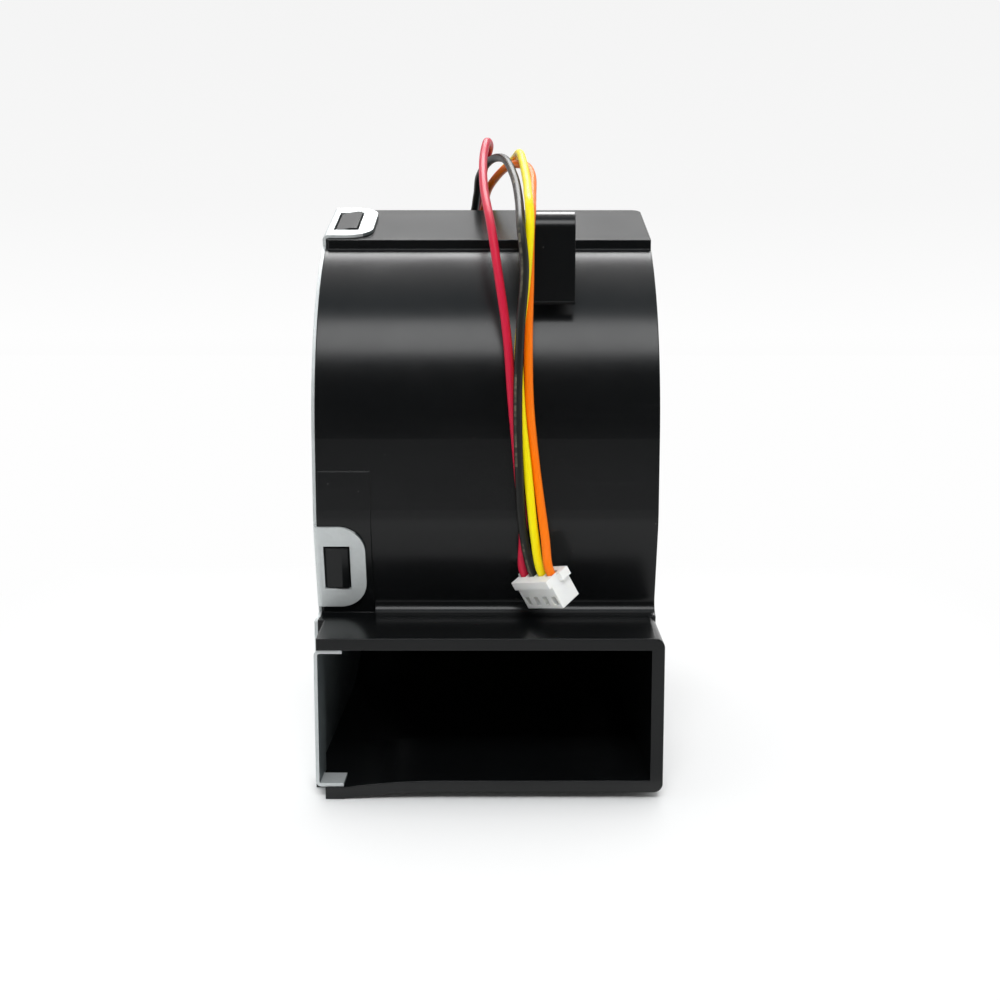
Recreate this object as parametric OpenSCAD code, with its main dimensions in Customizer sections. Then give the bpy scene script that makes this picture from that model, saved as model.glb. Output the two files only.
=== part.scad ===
// Double-inlet scroll blower that cools a projector's lamp.
// Frame: +Z up, -Y out of the outlet mouth, X along the fan shaft.
// Origin: bottom centre of the blower without its leads. Millimetres.

/* [Scroll housing] */
// Width from the steel plate to the moulded side wall
body_w = 51; // [44:0.5:60]
// Height of the shaft over the floor
axis_z = 48.2; // [47:0.2:52]
// Shaft to the front bulge
front_reach = 32; // [30.5:0.5:34]
// Shaft to the top of the scroll
top_reach = 37.2; // [36:0.2:40]
// Shaft to the back of the scroll
back_reach = 42.2; // [41:0.2:46]
// Shaft to the plane of the mouth
mouth_reach = 41.5; // [40:0.5:44]
// Radius of the scroll's front top
crown_r = 34.2; // [33:0.2:36]
// Radius of the scroll's lower back
heel_r = 34; // [32:0.5:38]
// Radius of the bend in the front wall
brow_r = 12; // [8:0.5:20]
// Height of that bend under the shaft
brow_drop = 7.5; // [6:0.5:9]
// Lean of the front wall under the bend
brow_a = 15.5; // [13:0.5:18]
// Thickness of the scroll wall
wall_t = 1.7; // [1.2:0.1:2.2]
// Thickness of the side wall
side_t = 1.8; // [1.2:0.1:2.4]
// Radius of the inlet eye in the side wall
eye_r = 24; // [22:0.5:24.5]
// Width of the rolled lip round the eye
eye_lip = 1.4; // [1:0.1:2]
// How far the rolled lip stands in towards the fan
eye_lip_in = 1; // [0.4:0.1:1.4]

/* [Mouth] */
// Outer top of the mouth over the floor
mouth_top = 23.6; // [22.6:0.2:24.6]
// Slope of the mouth's roof up to the scroll
ramp_a = 4; // [2:0.5:6]
// Fillet between roof and front wall
throat_r = 2; // [1.4:0.1:2.6]
// Rounding of the mouth's outer corners
mouth_r = 1.3; // [0.8:0.1:1.6]
// Height of the mouth's sill over the floor
sill_lift = 1; // [0.5:0.1:1.6]
// Depth of the sill behind the mouth plane
sill_d = 20; // [14:1:24]
// Length of the bowed stretch of the sill
bow_l = 14; // [8:1:20]
// Length of the sill that lies flat on the floor at the plate
bow_flat = 2.5; // [2:0.5:6]

/* [Latches] */
// Length of a tab from the plate's outer face
tab_reach = 7.6; // [7:0.1:9]
// Width of the top tab
top_tab_w = 16.5; // [14:0.5:17]
// Width of the front and heel tabs
side_tab_w = 13; // [10:0.1:13.4]
// Corner rounding of a tab
tab_r = 4; // [1:0.2:4.4]
// Window's near edge, from the plate's outer face
window_x = 1.4; // [1.2:0.1:2]
// Window's size along the tab
window_w = 3.9; // [3:0.1:4.5]
// Width of the rim at each side of a window
window_rim = 3; // [2:0.1:4]
// Free gap round a latch nose in its window
nose_c = 0.25; // [0.15:0.05:0.4]
// Height of a latch nose at its catch
nose_h = 0.8; // [0.7:0.1:1.3]
// Height of the flat pads over the scroll
pad_lift = 0.3; // [0.2:0.05:0.6]
// Free gap between a tab and its pad
tab_c = 0.05; // [0.02:0.01:0.2]

/* [Wire hook] */
// Width of the hook
hook_w = 6.9; // [6:0.1:9]
// Near edge of the hook from the middle of the blower
hook_x = 6.2; // [5.8:0.1:8]
// Thickness of the hook's strap
hook_t = 1.7; // [1.2:0.1:2.2]
// Free space behind the strap
hook_gap = 1.9; // [1.5:0.1:2.5]
// Length of the strap's drop
hook_drop = 10.3; // [8:0.1:12]
// Outer radius of the strap's bend
hook_r = 3; // [2.4:0.1:4]

/* [Steel plate] */
// Thickness of the sheet
plate_t = 0.5; // [0.4:0.1:0.8]
// Inner radius of the folds
fold_in_r = 0.3; // [0.15:0.05:0.35]
// How far the plate's edge stays in from the scroll's skin
plate_in = 0.15; // [0.1:0.05:0.4]
// Reach of the folded lips in the mouth
lip_reach = 4; // [2.5:0.1:4.4]
// Depth of the folded lips
lip_d = 4.4; // [3:0.1:6]
// How far the plate's tongue is set in at the mouth
tongue_in = 1.1; // [0.6:0.1:1.4]
// Length of the tongue
tongue_l = 9; // [8:0.5:9.5]
// Radius of the inlet in the plate
plate_eye_r = 24; // [22:0.5:25]
// Radius of the motor base
base_r = 16.2; // [15.8:0.1:17.5]
// Width of the spokes
spoke_w = 7; // [6.6:0.1:9]
// Direction of the spoke that carries the leads
lead_a = 64; // [58:1:70]

/* [Fan wheel] */
// Outer radius of the wheel
fan_r = 28; // [26:0.5:28.5]
// Radius at the blades' inner edges
blade_in_r = 23; // [20:0.5:24]
// Number of blades in one segment of the cage
blade_n = 5; // [3:1:5]
// Thickness of a blade
blade_t = 0.8; // [0.6:0.1:1]
// Forward sweep of a blade
blade_sweep = 9; // [4:0.5:12]
// Radial width of the end rings
rim_w = 2.2; // [1.5:0.1:3]
// Thickness of the end rings
rim_t = 1.2; // [0.8:0.1:1.6]
// Thickness of the web
web_t = 2; // [1.5:0.1:3]
// Free space at each end of the wheel
end_gap = 2.4; // [2:0.1:3]
// Thickness of the hub's shell round the motor
hub_t = 1.4; // [1:0.1:1.8]

/* [Motor] */
// Radius of the shaft
shaft_r = 1.5; // [1:0.1:2]
// Running gap of the shaft in its bearings
run_c = 0.03; // [0.01:0.01:0.08]
// Gap of parts that are pressed together
press_c = 0.02; // [0.01:0.01:0.05]
// Wall of the sleeve bearings
bearing_t = 1.4; // [1:0.1:1.6]
// Length of a sleeve bearing
bearing_l = 4; // [3:0.5:5]
// Wall of the bearing tube
tube_t = 0.6; // [0.4:0.1:0.8]
// Radius of the tube's flange
flange_r = 6; // [5.5:0.5:7]
// Thickness of the tube's flange
flange_t = 1; // [0.8:0.1:1.2]
// Thickness of the circuit board
board_t = 1; // [0.8:0.1:1.6]
// Radius of the circuit board
board_r = 15; // [14:0.5:15.5]
// Radius over the stator's teeth
stator_r = 12.6; // [12:0.1:12.8]
// Length of the lamination stack
stack_l = 6; // [5:0.5:7]
// Number of stator teeth
tooth_n = 4; // [3:1:4]
// Width of a tooth
tooth_w = 4; // [3:0.5:4.5]
// Depth of the tooth tips
tip_t = 1.4; // [1:0.1:1.8]
// Thickness of the slot insulators
insul_t = 0.8; // [0.5:0.1:1]
// Build-up of the coils
coil_t = 1.7; // [1:0.1:1.9]
// Air gap between stator and magnet
air_gap = 0.5; // [0.3:0.05:0.8]
// Thickness of the ring magnet
magnet_t = 1.45; // [1:0.05:1.6]
// Thickness of the flux cup
cup_t = 0.8; // [0.6:0.1:1]
// Depth of the flux cup
cup_d = 15.3; // [14.8:0.1:15.6]
// Radius of the brass boss
boss_r = 4.5; // [3.5:0.1:5]

/* [Leads] */
// Diameter of a lead
lead_d = 1.3; // [1.1:0.1:1.4]
// Distance between leads in the bundle
lead_pitch = 1.5; // [1.5:0.1:1.6]
// Distance between the connector's ways
way_pitch = 2; // [2:0.1:2.5]
// Depth of the connector's housing
plug_d = 3.6; // [3.2:0.1:4.5]
// Height of the connector's housing
plug_h = 4.9; // [4.6:0.1:6]
// Size of a way's opening
way_w = 1.5; // [1.45:0.05:1.6]
// Length of lead inside its way
lead_in = 1.6; // [1:0.1:2]

/* [Hidden] */
$fn = 64;
cut = 1;

// Overall box: the blower stands in the middle of its own width and depth
x_plate = -body_w / 2;
x_seat = x_plate + plate_t;
fold_r = plate_t + fold_in_r;
x_pad = x_seat + fold_in_r;
x_side = x_plate + body_w;
x_inner = x_side - side_t;
axis_y = (mouth_reach - back_reach) / 2;
y_mouth = axis_y - mouth_reach;
y_front = axis_y - front_reach;
y_back = axis_y + back_reach;
z_top = axis_z + top_reach;

// Arc centres of the scroll as [Y, Z]: crown, shoulder and heel share their tangents
crown = [y_front + crown_r, z_top - crown_r];
shoulder_r = y_back - crown.x;
shoulder = [crown.x, z_top - shoulder_r];
heel = [y_back - heel_r, heel_r];
brow = [y_front + brow_r, axis_z - brow_drop];
brow_out = [-cos(brow_a), -sin(brow_a)];
// Centre of the throat's fillet: it touches the roof and the front wall from outside
ramp_dir = [cos(ramp_a), sin(ramp_a)];
ramp_up = [-sin(ramp_a), cos(ramp_a)];
ramp_from = [y_mouth, mouth_top] + throat_r * ramp_up;
ramp_l = (brow_r + throat_r - (ramp_from - brow) * brow_out) / (ramp_dir * brow_out);
throat = ramp_from + ramp_l * ramp_dir;
function ramp_z(y, w) = mouth_top + (y - y_mouth) * tan(ramp_a) - w / cos(ramp_a);

// Mouth: the floor there is a sill that bows down to the plate, whose tongue goes between roof and sill
y_sill = y_mouth + sill_d;
floor_in = 2.5;
roof_in = 1.5;
x_floor = x_plate + floor_in;
x_roof = x_plate + roof_in;
x_bow0 = x_floor + bow_flat;
x_bow1 = x_bow0 + bow_l;
bow_steps = 8;
lip_set = 0.3;
joggle_l = 1.6;
y_lip0 = y_mouth + lip_set;
y_lip1 = y_lip0 + lip_d;
y_bend = y_mouth + tongue_l;
y_joggle = y_bend - joggle_l;
lip_c = 0.05;
z_lip0 = wall_t + lip_c;
z_lip1 = ramp_z(y_mouth, wall_t) - lip_c;

// Latches: [centre, radius, direction of the pad's normal, tab width, tab's middle, pad's ends along it]
top_pad_a = 110;
heel_pad_a = -45;
pad_margin = 3.2;
pocket_end = -13.4;
heel_pad_u = side_tab_w / 2 + pad_margin;
top_latch = [crown, crown_r, top_pad_a, top_tab_w, 1, [-8, 10]];
front_latch = [brow, brow_r, 180 + brow_a, side_tab_w, -5.65, [pocket_end, 0]];
heel_latch = [heel, heel_r, heel_pad_a, side_tab_w, 0, [-heel_pad_u, heel_pad_u]];
latches = [top_latch, front_latch, heel_latch];
pocket_l = 4;
pad_up = 9;
pocket_h = 3;
pad_drop = 2.2;
pad_step = 0.2;
pad_spare = 0.9;
pad_reach = tab_reach + pad_spare;
pad_root = 2.4;
pad_corner_r = 1.5;
nose_flat = 1;
fold_leg = 4;

// Hook: level at its root, then a round bend and the drop
hook_rise = 1.05;
hook_bevel = 0.4;
hook_foot = 3;
hook_root = crown.x - 8;
hook_top = crown.y + crown_r * sin(top_pad_a) + hook_rise;
hook_z0 = hook_top - hook_r - hook_drop;
hook_y = crown.x - sqrt(pow(crown_r, 2) - pow(hook_z0 - crown.y, 2)) - hook_gap - hook_t;

// Wheel and motor along the shaft
x_wheel0 = x_seat + end_gap;
x_wheel1 = x_inner - end_gap;
tube_in_r = shaft_r + run_c + bearing_t + press_c;
tube_r = tube_in_r + tube_t;
x_flange = x_seat + flange_t;
x_board = x_flange + board_t;
cup_lift = 2.5;
x_cup0 = x_board + cup_lift;
x_cup1 = x_cup0 + cup_d;
x_web0 = x_cup1 + press_c;
x_web1 = x_web0 + web_t;
magnet_in_r = stator_r + air_gap;
cup_in_r = magnet_in_r + magnet_t + press_c;
cup_r = cup_in_r + cup_t;
hub_in_r = cup_r + press_c;
hub_r = hub_in_r + hub_t;
boss_in = 1.2;
x_boss0 = x_cup1 - cup_t - boss_in;
x_boss1 = x_web1;
coil_lift = 3;
x_stack0 = x_board + insul_t + coil_t + coil_lift;
x_stack1 = x_stack0 + stack_l;
tube_out = 1.2;
x_tube1 = x_stack1 + insul_t + tube_out;
stator_bore = tube_r + press_c;
yoke_t = 2;
yoke_r = stator_bore + yoke_t;
tip_r = stator_r - tip_t;
tip_a = 68;
insul_in = 0.3;
coil_c = 0.1;
coil_round = 0.8;
hub_set = 0.6;
magnet_set = 0.5;
shaft_in = 0.7;
x_shaft0 = x_plate + shaft_in;
clip_in = 0.4;
clip_t = 0.4;
clip_depth = 0.3;
clip_mouth = 1.2;
clip_c = 0.05;
x_clip = x_shaft0 + clip_in;
washer_t = 0.3;
washer_c = 0.3;
x_washer = x_clip + clip_t + clip_c;
bearing_c = 0.1;
x_bearing0 = x_washer + washer_t + bearing_c;
x_bearing1 = x_tube1 - bearing_l - bearing_c;
spring_d = 0.4;
spring_turns = 2;
spring_steps = 14;
spring_c = 0.35;
spring_r = shaft_r + run_c + spring_d / 2 + spring_c;

// Board parts, as their height, depth and width
chip = [1.4, 4, 5];
chip_r = yoke_r + 1.2;
hall = [1.1, 1.6, 3];
hall_r = magnet_in_r - 1.2;

// Blades: drawn in from the rim, bent forward towards their tips, in segments with a hair gap between
seg_n = 8;
seg_c = 0.04;
blade_pitch = 360 / seg_n / blade_n;
blade_tip_in = 0.4;
blade_bend = 1.6;
blade_steps = 4;

// Leads: the bundle leaves through a notch in the rim, along its spoke
lead_c = 0.05;
lead_x = x_seat + lead_d / 2 + lead_c;
lead_exit_r = 39;
lead_rise = 1.6;
lead_gap = 0.1;
lead_straight = 0.8;
notch_c = 0.15;
way_n = 4;
lead_dir = [cos(lead_a), sin(lead_a)];
plug_pos = [8.8, -35.4, 29.7];
plug_lean = 28;
plug_yaw = -52;
plug_tilt = -10;
plug_l = way_n * way_pitch;
plug_rib = 0.5;
wing_l = 0.75;
wing_h = 1.3;
contact_c = 0.1;
contact_w = way_w - 2 * contact_c;
contact_l = 2.6;
pin_w = 0.8;
lance = [1, 1.4];

function bundle(i) = ((way_n - 1) / 2 - i) * lead_pitch;

// A point of the bundle's place i, at distance r from the shaft
function bundle_point(i, r) = [
    lead_x,
    axis_y + r * lead_dir.x - bundle(i) * lead_dir.y,
    axis_z + r * lead_dir.y + bundle(i) * lead_dir.x
];
function lead_start(i) = [bundle_point(i, lead_exit_r), bundle_point(i, lead_exit_r + lead_rise)];

// A point over the connector's middle: way i, height h, turned with the connector
function way_x(i) = (i - (way_n - 1) / 2) * way_pitch;
function leaned(i, h) = [way_x(i), -h * sin(plug_lean), h * cos(plug_lean)];
function tilted(p) = [
    p.x * cos(plug_tilt) + p.z * sin(plug_tilt),
    p.y,
    p.z * cos(plug_tilt) - p.x * sin(plug_tilt)
];
function yawed(p) = [
    p.x * cos(plug_yaw) - p.y * sin(plug_yaw),
    p.x * sin(plug_yaw) + p.y * cos(plug_yaw),
    p.z
];
function way_point(i, h) = plug_pos + yawed(tilted(leaned(i, h)));
function plug_end(i) = [way_point(i, plug_h / 2 + lead_straight), way_point(i, plug_h / 2 - lead_in)];

// Routes of the free leads between the rim's notch and the connector
red_route = [
    [-21, 17.4, 86.3], [-15.5, 16.5, 84.5], [-8.5, 15.7, 84.4], [-2.7, 12.5, 86.8], [-1.1, 6.7, 91.5],
    [-0.3, 0.7, 95], [0.4, -3.8, 96.9], [0, -8.3, 97], [-0.5, -13.3, 93.8], [-0.3, -21.3, 88.2],
    [0.8, -28.8, 82], [1.9, -31.8, 74.7], [3.1, -32.8, 66.2], [3.8, -33.3, 57.2], [4.7, -33.6, 47.2],
    [5.5, -33.6, 37.7]
];
black_route = [
    [-21, 16.1, 86.9], [-15.5, 15.2, 85.2], [-8.5, 13.7, 85], [-3.1, 10.3, 86.8], [-1.9, 6.2, 90.2],
    [-1.4, 1.7, 92.8], [0.5, -3.8, 94.7], [2.7, -9.8, 94.2], [4.2, -16.8, 90.8], [4.9, -25.3, 86.2],
    [5.1, -32.7, 81.4], [5.4, -33.9, 75.7], [4.6, -34.9, 66.7], [4.2, -35.3, 57.2], [5.1, -35.3, 47.2],
    [6.1, -35.3, 37.7]
];
yellow_route = [
    [-21, 20.1, 85], [-15.5, 19.2, 83.3], [-8.5, 18.7, 82.9], [-2.1, 17.2, 85], [0, 13.6, 88.6],
    [1.3, 7.7, 91.2], [3.1, 1.7, 93.4], [4.4, -3.8, 94.9], [5.2, -9.3, 95.1], [5.7, -14.8, 92.9],
    [6.2, -23.4, 88.5], [6.2, -26.8, 87], [6.3, -30.3, 85.2], [6.4, -31.9, 82], [6.2, -32.5, 74.2],
    [5.5, -33.7, 64.7], [5.5, -34.2, 55.7], [6.4, -34.7, 47.2], [7.6, -36.1, 37.4]
];
orange_route = [
    [-21, 18.8, 85.6], [-15.5, 17.8, 83.8], [-8.5, 17.3, 83.4], [-2.5, 15.3, 85.6], [-0.9, 11.9, 88.5],
    [0.1, 6.2, 91.2], [1.9, 0.2, 93], [3.9, -5.8, 93.7], [6.1, -10.8, 93], [7, -16.3, 90.8],
    [6.9, -23.4, 86.9], [6.8, -26.6, 85.4], [6.7, -29.4, 84.2], [6.5, -30.4, 81.4], [6.4, -31.1, 74.2],
    [6.1, -32.2, 65.2], [6.4, -33.2, 56.2], [7.5, -33.9, 47.2], [9.2, -36.7, 37.4]
];

// Extrusions: a [Y, Z] outline along X, an [X, Z] outline along Y
module along_x(x0, x1) {
    translate([x0, 0, 0]) rotate([90, 0, 90]) linear_extrude(x1 - x0) children();
}

module along_y(y0, y1) {
    translate([0, y1, 0]) rotate([90, 0, 0]) linear_extrude(y1 - y0) children();
}

// Round pieces on the shaft line
module on_axis(x) {
    translate([x, axis_y, axis_z]) rotate([0, 90, 0]) children();
}

module disc(x0, x1, r) {
    on_axis(x0) cylinder(r = r, h = x1 - x0);
}

module ring(x0, x1, r_out, r_in) {
    difference() {
        disc(x0, x1, r_out);
        disc(x0 - cut, x1 + cut, r_in);
    }
}

// A quarter disc about c: side_y and side_z say which quarter
module quarter_2d(c, r, side_y, side_z) {
    translate(c) intersection() {
        circle(r = r);
        translate([min(side_y, 0) * r, min(side_z, 0) * r]) square(r);
    }
}

// The scroll and its duct, in by w from the outer skin, with the duct ending at y_end
module scroll_2d(w, y_end) {
    quarter_2d(crown, crown_r - w, -1, 1);
    quarter_2d(shoulder, shoulder_r - w, 1, 1);
    quarter_2d(heel, heel_r - w, 1, -1);
    translate([crown.x, heel.y]) square([y_back - w - crown.x, shoulder.y - heel.y]);
    translate([y_front + w, brow.y]) square([crown.x - y_front - w, crown.y - brow.y]);
    translate(brow) circle(r = brow_r - w);
    duct_2d(w, y_end);
}

// The duct under the bend: its roof and the fillet above it, which turns about one centre on both skins
module duct_2d(w, y_end) {
    r = throat_r + w;
    difference() {
        polygon([
            [y_end, w], [y_end, ramp_z(y_end, w)], throat - r * ramp_up, throat, throat - r * brow_out,
            brow + (brow_r - w) * brow_out, [brow.x, crown.y], [heel.x, crown.y], [heel.x, w]
        ]);
        translate(throat) circle(r = r);
    }
}

// Height of the sill's underside at x
function bow_z(x) =
    x > x_bow1 ? sill_lift
    : x < x_bow0 ? 0
    : sill_lift * (1 - pow((x_bow1 - x) / bow_l, 2));

module sill() {
    xs = concat([x_seat], [for (i = [0:bow_steps]) x_bow0 + bow_l * i / bow_steps], [x_side]);
    under = [for (x = xs) [x, bow_z(x)]];
    over = [for (i = [len(xs) - 1:-1:0]) [xs[i], bow_z(xs[i]) + wall_t]];
    difference() {
        along_y(y_mouth, y_sill) polygon(concat(under, over));
        translate([x_seat - cut, y_mouth - cut, -cut])
            cube([x_floor - x_seat + cut, y_lip1 - y_mouth + cut, wall_t + 2 * cut]);
        corner(sill_lift, 0, sill_d, -1);
    }
}

// What rounds off a corner of the mouth: it runs back from height z at slope a, side is up or down
module corner(z, a, l, side) {
    translate([x_side - mouth_r, y_mouth, z]) rotate([a, 0, 0]) scale([1, 1, side])
        translate([0, -cut, -mouth_r]) difference() {
            cube([mouth_r + cut, l + cut, mouth_r + cut]);
            rotate([-90, 0, 0]) cylinder(r = mouth_r, h = l + cut);
        }
}

// Local frame of a latch: X along the tab, Y along the pad, Z out of the pad
module at_latch(l) {
    a = l[2];
    translate([0, l[0].x + l[1] * cos(a), l[0].y + l[1] * sin(a)]) rotate([a - 90, 0, 0]) children();
}

// A point on a latch as [Y, Z]: u along the pad, v out of it
function pad_point(l, u, v) =
    l[0] + (l[1] + v) * [cos(l[2]), sin(l[2])] + u * [sin(l[2]), -cos(l[2])];

// The top pad ends in an upright face at the front
module top_pad() {
    r = pad_corner_r;
    u0 = top_latch[5][0];
    u1 = top_latch[5][1];
    edge = pad_point(top_latch, u0, pad_lift);
    at_latch(top_latch) translate([0, 0, -pad_root]) linear_extrude(pad_root + pad_lift) {
        translate([x_pad, u0]) square([x_side - x_pad, u1 - r - u0]);
        translate([x_pad, u0]) square([x_side - r - x_pad, u1 - u0]);
        translate([x_side - r, u1 - r]) circle(r = r);
    }
    along_x(x_pad + pad_step, x_side)
        polygon([edge, edge - [0, pad_drop], pad_point(top_latch, u0, -pad_root)]);
}

module side_pad(l) {
    u = l[5];
    at_latch(l) translate([x_pad, u[0], -pad_root])
        cube([x_plate + pad_reach - x_pad, u[1] - u[0], pad_root + pad_lift]);
}

// The front pad goes on over the bend, as high over the wall as under the tab
module bend_pad() {
    foot = pad_point(front_latch, 0, pad_lift);
    along_x(x_pad, x_plate + pad_reach) intersection() {
        scroll_2d(-pad_lift, y_mouth);
        translate([y_front - cut, foot.y]) square([cut + pad_root, pad_up]);
    }
}

// Room for the front tab's lower end in the throat's fillet
module pocket_2d(w) {
    u1 = pocket_end + pocket_l;
    polygon([for (p = [[pocket_end, -w], [u1, -w], [u1, pocket_h], [pocket_end, pocket_h]])
        pad_point(front_latch, p.x, p.y)]);
}

// A wedge that the window's far rim snaps behind
module nose(l) {
    w = l[3] - 2 * window_rim - 2 * nose_c;
    x0 = x_plate + window_x + nose_c;
    x1 = x_plate + window_x + window_w - nose_c;
    at_latch(l) translate([0, l[4] + w / 2, pad_lift]) rotate([90, 0, 0]) linear_extrude(w)
        polygon([
            [x0, -pad_lift], [x1, -pad_lift], [x1, nose_h], [x1 - nose_flat, nose_h], [x0, nose_h / 2]
        ]);
}

// The strap leaves the top pad, runs forward and drops in front of the scroll
module wire_hook() {
    bend = [hook_y + hook_r, hook_top - hook_r];
    along_x(hook_x, hook_x + hook_w) {
        polygon([
            [bend.x, hook_top], [hook_root, hook_top], [hook_root, hook_top - hook_t - hook_foot],
            [bend.x, hook_top - hook_t]
        ]);
        difference() {
            quarter_2d(bend, hook_r, -1, 1);
            translate(bend) circle(r = hook_r - hook_t);
        }
        polygon([
            [hook_y, bend.y], [hook_y, hook_z0], [hook_y + hook_bevel, hook_z0 - hook_bevel],
            [hook_y + hook_t, hook_z0 - hook_bevel], [hook_y + hook_t, bend.y]
        ]);
    }
}

// The notch that the lead bundle leaves through
module lead_notch() {
    w = way_n * lead_pitch + 2 * notch_c;
    depth = lead_x - x_seat + lead_d / 2 + notch_c;
    translate([x_seat - cut, axis_y, axis_z]) rotate([lead_a, 0, 0])
        translate([0, fan_r + cut, -w / 2]) cube([depth + cut, lead_exit_r, w]);
}

module housing() {
    color("#17181a") {
        difference() {
            union() {
                difference() {
                    along_x(x_seat, x_side) scroll_2d(0, y_mouth);
                    along_x(x_seat - cut, x_plate + pad_reach + pad_step) pocket_2d(0);
                    corner(mouth_top, ramp_a, ramp_l, 1);
                }
                top_pad();
                side_pad(front_latch);
                bend_pad();
                side_pad(heel_latch);
                wire_hook();
            }
            along_x(x_seat - cut, x_inner) scroll_2d(wall_t, y_mouth - cut);
            translate([x_seat - cut, y_mouth - cut, -cut])
                cube([body_w + 2 * cut, sill_d + cut, sill_lift + wall_t + cut]);
            translate([x_seat - cut, y_mouth - cut, z_lip1])
                cube([x_roof - x_seat + cut, tongue_l + cut, mouth_top - z_lip1 + 2 * cut]);
            disc(x_inner - cut, x_side + cut, eye_r);
            lead_notch();
        }
        sill();
        ring(x_inner - eye_lip_in, x_side, eye_r + eye_lip, eye_r);
        for (l = latches) nose(l);
    }
}

// Sheet folded through a right angle, seen end on: outer corner at the origin
module fold_2d(reach) {
    translate([0, -fold_leg]) square([plate_t, fold_leg - fold_r]);
    translate([fold_r, -plate_t]) square([reach - fold_r, plate_t]);
    intersection() {
        translate([fold_r, -fold_r]) difference() {
            circle(r = fold_r);
            circle(r = fold_r - plate_t);
        }
        translate([0, -fold_r]) square(fold_r);
    }
}

// A latch tab with its window and round corners
module tab(l) {
    w = l[3];
    z = pad_lift + tab_c + plate_t;
    at_latch(l) translate([x_plate, l[4], z]) difference() {
        translate([0, w / 2, 0]) rotate([90, 0, 0]) linear_extrude(w) fold_2d(tab_reach);
        translate([window_x, window_rim - w / 2, -plate_t - cut])
            cube([window_w, w - 2 * window_rim, plate_t + 2 * cut]);
        for (s = [-1, 1]) scale([1, s, 1]) translate([tab_reach - tab_r, w / 2 - tab_r, -plate_t - cut])
            difference() {
                cube([tab_r + cut, tab_r + cut, plate_t + 2 * cut]);
                cylinder(r = tab_r, h = plate_t + 2 * cut);
            }
    }
}

module plate_windows_2d() {
    translate([axis_y, axis_z]) {
        difference() {
            circle(r = plate_eye_r);
            circle(r = base_r);
            for (k = [0:2]) rotate(lead_a + 120 * k) translate([0, -spoke_w / 2])
                square([plate_eye_r + cut, spoke_w]);
        }
        circle(r = tube_r + press_c);
    }
}

// The plate's front end: a tongue set in between roof and sill, with a lip folded in at each edge
module tongue() {
    x0 = x_plate + tongue_in;
    x1 = x_seat + tongue_in;
    translate([0, 0, z_lip0]) linear_extrude(z_lip1 - z_lip0) polygon([
        [x_plate, y_bend + cut], [x_plate, y_bend], [x0, y_joggle], [x0, y_lip1], [x1, y_lip1],
        [x1, y_joggle], [x_seat, y_bend], [x_seat, y_bend + cut]
    ]);
    translate([x0, y_lip0, z_lip0 + fold_r]) cube([plate_t, lip_d, z_lip1 - z_lip0 - 2 * fold_r]);
    along_y(y_lip0, y_lip1) translate([x0, z_lip1]) fold_2d(lip_reach);
    along_y(y_lip0, y_lip1) translate([x0, z_lip0]) mirror([0, 1]) fold_2d(lip_reach);
}

module cover_plate() {
    color("#c3c8c8") {
        along_x(x_plate, x_seat) difference() {
            scroll_2d(plate_in, y_bend);
            pocket_2d(plate_in);
            plate_windows_2d();
        }
        for (l = latches) tab(l);
        tongue();
    }
}

module bearing_tube() {
    color("#b5933f") difference() {
        union() {
            disc(x_plate, x_tube1, tube_r);
            disc(x_seat, x_flange, flange_r);
        }
        disc(x_plate - cut, x_tube1 + cut, tube_in_r);
    }
}

module tube_cap() {
    color("#222222") disc(x_plate, x_seat, tube_in_r - press_c);
}

module bearing(x) {
    color("#8f7a58") ring(x, x + bearing_l, tube_in_r - press_c, shaft_r + run_c);
}

module stator_2d(tip_in) {
    difference() {
        union() {
            circle(r = yoke_r);
            for (k = [0:tooth_n - 1]) rotate(360 * k / tooth_n) {
                translate([0, -tooth_w / 2]) square([tip_r + tip_t / 2, tooth_w]);
                intersection() {
                    difference() {
                        circle(r = stator_r - tip_in);
                        circle(r = tip_r);
                    }
                    polygon([[0, 0], 2 * stator_r * [cos(tip_a / 2), -sin(tip_a / 2)],
                        2 * stator_r * [cos(tip_a / 2), sin(tip_a / 2)]]);
                }
            }
        }
        circle(r = stator_bore);
    }
}

module stator_core() {
    color("#74787c") on_axis(x_stack0) linear_extrude(stack_l) stator_2d(0);
}

// Slot insulator: a plate on the stack's end with a wall that holds the coils
module insulator(x, x_wall) {
    color("#d9d4c4") {
        on_axis(x) linear_extrude(insul_t) stator_2d(insul_in);
        ring(min(x, x_wall), max(x + insul_t, x_wall), stator_r - insul_in, tip_r + insul_in);
    }
}

module insulator_outer() {
    insulator(x_stack0 - insul_t, x_stack0 - insul_t - coil_t);
    color("#d9d4c4") ring(x_board, x_stack0 - insul_t, yoke_r - insul_in, stator_bore);
}

module insulator_inner() {
    insulator(x_stack1, x_stack1 + insul_t + coil_t);
}

// One coil round each tooth, between yoke and tip
module stator_windings() {
    r0 = yoke_r + insul_in;
    inner = [stack_l + 2 * insul_t + coil_c, tooth_w + coil_c];
    outer = inner + 2 * [coil_t, coil_t];
    r1 = sqrt(pow(tip_r, 2) - pow(outer.y / 2, 2)) - coil_c;
    color("#b4622d") on_axis((x_stack0 + x_stack1) / 2) for (k = [0:tooth_n - 1])
        rotate([0, 0, 360 * k / tooth_n]) translate([r0, 0, 0]) rotate([0, 90, 0]) linear_extrude(r1 - r0)
            difference() {
                rounded_2d(outer, coil_t * coil_round);
                square(inner, center = true);
            }
}

module rounded_2d(size, r) {
    square([size.x - 2 * r, size.y], center = true);
    square([size.x, size.y - 2 * r], center = true);
    for (sx = [-1, 1], sy = [-1, 1]) translate([sx * (size.x / 2 - r), sy * (size.y / 2 - r)]) circle(r = r);
}

module circuit_board() {
    color("#2f6b3a") ring(x_flange, x_board, board_r, tube_r + press_c);
}

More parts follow.
